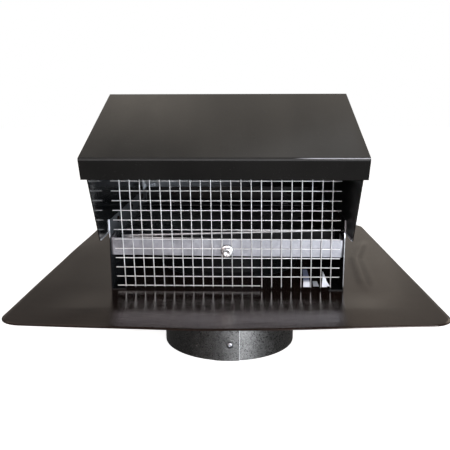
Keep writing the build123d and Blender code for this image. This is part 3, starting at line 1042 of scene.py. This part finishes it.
class VENT_OT_rivets(Operator):
    """Makes the pulled rivets of the hood, throat, strap and collar"""

    bl_idname = "vent.rivets"
    bl_label = "Rivets"

    def execute(self, context):
        enamel = bronze_enamel("rivet_enamel", context.scene.vent_paint.bronze, 0.2, 0.0, STIFF_WAVES)
        plating = plated_steel("rivet_plating", context.scene.vent_zinc.strap, 0.3)
        self.make("cover_rivets", enamel, "rivet_paint", True)
        self.make("lap_rivets", enamel, "rivet_paint", True)
        self.make("strap_rivets", plating, "rivet_zinc", True)
        weathered = plated_steel("collar_rivet_plating", context.scene.vent_zinc.rivet, 0.3)
        self.make("collar_rivets", weathered, "rivet_zinc", False)
        return {"FINISHED"}

    def make(self, node_name, material, slot, bulged):
        """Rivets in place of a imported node's, with a set end where they are bulged."""
        fasteners = bpy.context.scene.vent_fasteners
        head = fasteners.rivet_head / 2
        shank = fasteners.rivet_shank / 2
        pin = fasteners.rivet_pin / 2
        dome = fasteners.rivet_dome
        shape = bmesh.new()
        for solid in solids_of(node_name):
            low, high = span(solid)
            middle = (low + high) / 2
            outward = self.outward(node_name, middle)
            top = max(point.dot(outward) for point in solid)
            end = min(point.dot(outward) for point in solid) - top + dome
            seat = seat_along(outward, middle + outward * (top - dome - middle.dot(outward)))
            profile = [(0.0, end)]
            if bulged:
                bulge = fasteners.rivet_bulge / 2
                length = fasteners.rivet_tail
                profile += [(0.7 * bulge, end), (bulge, end + 0.35 * length), (0.9 * bulge, end + length)]
            else:
                profile += [(shank, end)]
            profile += [(shank, 0.0), (0.97 * head, 0.0), (head, 0.12 * dome), (0.9 * head, 0.45 * dome)]
            profile += [(0.72 * head, 0.78 * dome), (0.5 * head, 0.96 * dome), (1.12 * pin, dome)]
            profile += [(pin, 0.93 * dome), (0.9 * pin, 0.55 * dome)]
            profile += [(0.4 * pin, 0.45 * dome), (0.0, 0.44 * dome)]
            add_turned(shape, profile, seat, fasteners.rivet_facets)
        piece = new_piece(node_name.replace("rivets", "pulled_rivets"), shape, material)
        sharp = radians(40)
        piece.data.set_sharp_from_angle(angle=sharp)
        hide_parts(node_name)

    def outward(self, node_name, middle):
        """Way that a rivet's head faces."""
        if node_name == "collar_rivets":
            return Vector((middle.x, middle.y, 0.0)).normalized()
        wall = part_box("throat_body")[1].x
        if abs(middle.x) > 0.9 * wall:
            return Vector((1.0 if middle.x > 0 else -1.0, 0.0, 0.0))
        return Vector((0.0, 1.0, 0.0))


class VENT_OT_sealant(Operator):
    """Puts flakes of sealant behind the screen's right foot, and dabs in the hood's rear left corner, as
    painted highlights
    """

    bl_idname = "vent.sealant"
    bl_label = "Sealant"

    def execute(self, context):
        sealant = context.scene.vent_sealant
        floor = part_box("base_flange")[1].z
        shape = bmesh.new()
        for flake in FLAKES:
            rings = []
            for left, right, back, height in flake:
                low = Vector((left, -sealant.stand + back, floor + height))
                high = Vector((right, -sealant.stand + back, floor + height))
                thick = Vector((0.0, sealant.thickness, 0.0))
                rings.append((low, high, high + thick, low + thick))
            add_rings(shape, rings)
        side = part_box("hood_side_left")[1].x
        side_dab = Vector((side, 0.0625, 0.0505))
        slope_dab = Vector((-0.0684, 0.0729, 0.0496))
        below_slope = Vector((0.0, -0.5176, -0.8556))
        self.dab(shape, side_dab, Vector((1.0, 0.0, 0.0)), (0.0028, 0.0044, 0.0034))
        self.dab(shape, slope_dab, below_slope, (0.0040, 0.0030, 0.0018))
        piece = new_piece("seam_sealant", shape, glinting_sealant(), smooth=False)
        piece.visible_glossy = False
        return {"FINISHED"}

    def dab(self, shape, place, outward, size):
        """Ragged dab on a sheet, flat where it sticks."""
        sunk = -0.1
        seat = seat_along(outward, place) @ Matrix.Diagonal(size).to_4x4()
        drop = bmesh.ops.create_icosphere(shape, subdivisions=3, radius=1.0)
        for vert in drop["verts"]:
            point = vert.co * (0.8 + 0.5 * noise.noise(vert.co * 1.3))
            vert.co = seat @ Vector((point.x, point.y, max(point.z, sunk)))


# Stage

def studio_world(stage):
    """Plain pale studio: white to the camera, and darker before the vent than behind and above it."""
    from_front = (-0.5, 0.6)
    from_left = (-0.25, 0.25, -0.25, 0.08)
    below_top = (0.6, 0.45)
    above_floor = (-0.25, 0.1)
    upper_wall = (0.40, 0.64, 1.15, 2.2)
    wall_top = (0.79, 0.65, 0.4, 1.0)
    overhead = (0.35, 0.95)
    panel_scale = (16.0, 1.0, 2.0)
    panel_tones = (0.3, 0.7, 0.75, 1.2)
    white = (1.0, 1.0, 1.0, 1.0)
    world = bpy.data.worlds.new("studio")
    world.use_nodes = True
    finish = Finish(world.node_tree)
    way = finish.node("TexCoord", output=0)
    up = finish.axis(way, "Z")
    right = finish.axis(way, "X")
    back = finish.step(finish.axis(way, "Y"), *from_front)
    sideways = finish.step(right, *from_left) * finish.step(up, *below_top)
    for brightness, across, upward in PATCHES.values():
        patch = brightness
        for limits in across:
            patch = finish.step(right, *limits) * patch
        for limits in upward:
            patch = finish.step(up, *limits) * patch
        sideways = sideways + patch
    stretched = finish.node("VectorMath", {0: way, 1: panel_scale}, operation="MULTIPLY")
    panels = finish.step(finish.node("TexNoise", {"Vector": stretched, "Scale": 1.0}), *panel_tones)
    horizon = finish.step(up, *above_floor) * (1.0 + sideways) * panels
    wall = back * horizon * finish.step(up, *upper_wall) * finish.step(up, *wall_top) * stage.back_light
    plain = finish.step(up, *overhead) * stage.top_light + stage.front_light
    warm_light = finish.node("Background", {"Color": opaque(stage.back_colour), "Strength": wall})
    plain_light = finish.node("Background", {"Color": white, "Strength": plain})
    studio = finish.node("AddShader", {0: warm_light, 1: plain_light})
    backdrop = finish.node("Background", {"Color": white, "Strength": 1.0})
    seen = finish.node("LightPath", output=0)
    shader = finish.node("MixShader", {0: seen, 1: studio, 2: backdrop})
    finish.node("OutputWorld", {"Surface": shader})
    return world


def soft_box(name, place, target, width, height, power, colour=(1.0, 1.0, 1.0)):
    """Area light that faces a target."""
    light = bpy.data.lights.new(name, "AREA")
    light.shape = "RECTANGLE"
    light.size = width
    light.size_y = height
    light.energy = power
    light.color = colour
    lamp = bpy.data.objects.new(name, light)
    lamp.location = place
    lamp.rotation_euler = (Vector(target) - Vector(place)).to_track_quat("-Z", "Y").to_euler()
    bpy.context.scene.collection.objects.link(lamp)


def add_camera(scene):
    """Camera that the scene is seen through."""
    stage = scene.vent_stage
    camera = bpy.data.objects.new("camera", bpy.data.cameras.new("camera"))
    camera.data.sensor_width = 36.0
    camera.data.lens = stage.camera_lens
    camera.data.clip_start = 0.01
    yaw = Matrix.Rotation(-stage.camera_yaw, 4, "Z")
    pitch = Matrix.Rotation(pi / 2 - stage.camera_pitch, 4, "X")
    roll = Matrix.Rotation(stage.camera_roll, 4, "Z")
    camera.matrix_world = Matrix.Translation(stage.camera_place) @ yaw @ pitch @ roll
    scene.collection.objects.link(camera)
    scene.camera = camera


def add_floor(scene):
    """Pale floor below the vent, kept out of its light and reflections."""
    stage = scene.vent_stage
    shape = bmesh.new()
    bmesh.ops.create_circle(shape, cap_ends=True, segments=96, radius=stage.floor_radius)
    mesh = bpy.data.meshes.new("floor")
    shape.to_mesh(mesh)
    shape.free()
    floor = bpy.data.objects.new("floor", mesh)
    floor.location.z = cad_box[0].z
    floor.visible_diffuse = False
    floor.visible_glossy = False
    floor.visible_shadow = False
    material, finish = new_finish("pale_floor")
    grain = finish.clouds(40, detail=3.0)
    tone = finish.mix(grain, opaque(stage.floor_colour, 0.98), opaque(stage.floor_colour))
    glow = {"Emission Color": opaque(stage.floor_colour), "Emission Strength": stage.floor_glow}
    finish.surface({"Base Color": tone, "Roughness": 0.9, "Specular IOR Level": 0.0, **glow})
    mesh.materials.append(material)
    scene.collection.objects.link(floor)


class VENT_OT_stage(Operator):
    """Sets the camera, the pale floor, the studio and its soft boxes"""

    bl_idname = "vent.stage"
    bl_label = "Stage"

    def execute(self, context):
        scene = context.scene
        stage = scene.vent_stage
        opening = (0.0, -0.08, 0.03)
        hood = (0.0, 0.0, 0.05)
        high_left = (-0.35, -1.0, 0.36)
        low_right = (0.43, -1.1, 0.06)
        overhead = (-0.1, 0.25, 1.1)
        scene.view_settings.view_transform = "Standard"
        scene.world = studio_world(stage)
        add_camera(scene)
        add_floor(scene)
        soft_box("fill_box", high_left, opening, 0.9, 0.5, stage.fill_power, stage.fill_colour)
        soft_box("key_box", low_right, opening, 0.7, 0.9, stage.key_power, stage.key_colour)
        soft_box("top_box", overhead, hood, 1.2, 0.8, stage.sky_power)
        return {"FINISHED"}


class VENT_PT_looks(Panel):
    """Sizes, colours and steps of the vent's looks"""

    bl_idname = "VENT_PT_looks"
    bl_label = "Roof Vent"
    bl_space_type = "VIEW_3D"
    bl_region_type = "UI"
    bl_category = "Roof Vent"

    def draw(self, context):
        for group in (getattr(context.scene, name) for name in GROUPS):
            box = self.layout.box()
            for key in group.__annotations__:
                box.prop(group, key)
        for step in STEPS:
            self.layout.operator(step.bl_idname)


GROUPS = {
    "vent_stage": VentStage,
    "vent_flange": VentFlange,
    "vent_paint": VentPaint,
    "vent_zinc": VentZinc,
    "vent_screen": VentScreen,
    "vent_damper": VentDamper,
    "vent_sealant": VentSealant,
    "vent_fasteners": VentFasteners,
}
STEPS = (
    VENT_OT_flange,
    VENT_OT_painted_sheets,
    VENT_OT_zinc_pieces,
    VENT_OT_damper_trim,
    VENT_OT_wing_hems,
    VENT_OT_screen_welds,
    VENT_OT_screen_screw,
    VENT_OT_rivets,
    VENT_OT_sealant,
    VENT_OT_stage,
)


def register():
    for group in GROUPS.values():
        bpy.utils.register_class(group)
    for name, group in GROUPS.items():
        setattr(bpy.types.Scene, name, PointerProperty(type=group))
    for step in STEPS:
        bpy.utils.register_class(step)
    bpy.utils.register_class(VENT_PT_looks)


def unregister():
    bpy.utils.unregister_class(VENT_PT_looks)
    for step in reversed(STEPS):
        bpy.utils.unregister_class(step)
    for name, group in GROUPS.items():
        delattr(bpy.types.Scene, name)
        bpy.utils.unregister_class(group)


def main():
    register()
    bpy.ops.vent.flange()
    bpy.ops.vent.painted_sheets()
    bpy.ops.vent.zinc_pieces()
    bpy.ops.vent.damper_trim()
    bpy.ops.vent.wing_hems()
    bpy.ops.vent.screen_welds()
    bpy.ops.vent.screen_screw()
    bpy.ops.vent.rivets()
    bpy.ops.vent.sealant()
    bpy.ops.vent.stage()


if __name__ == "__main__":
    main()
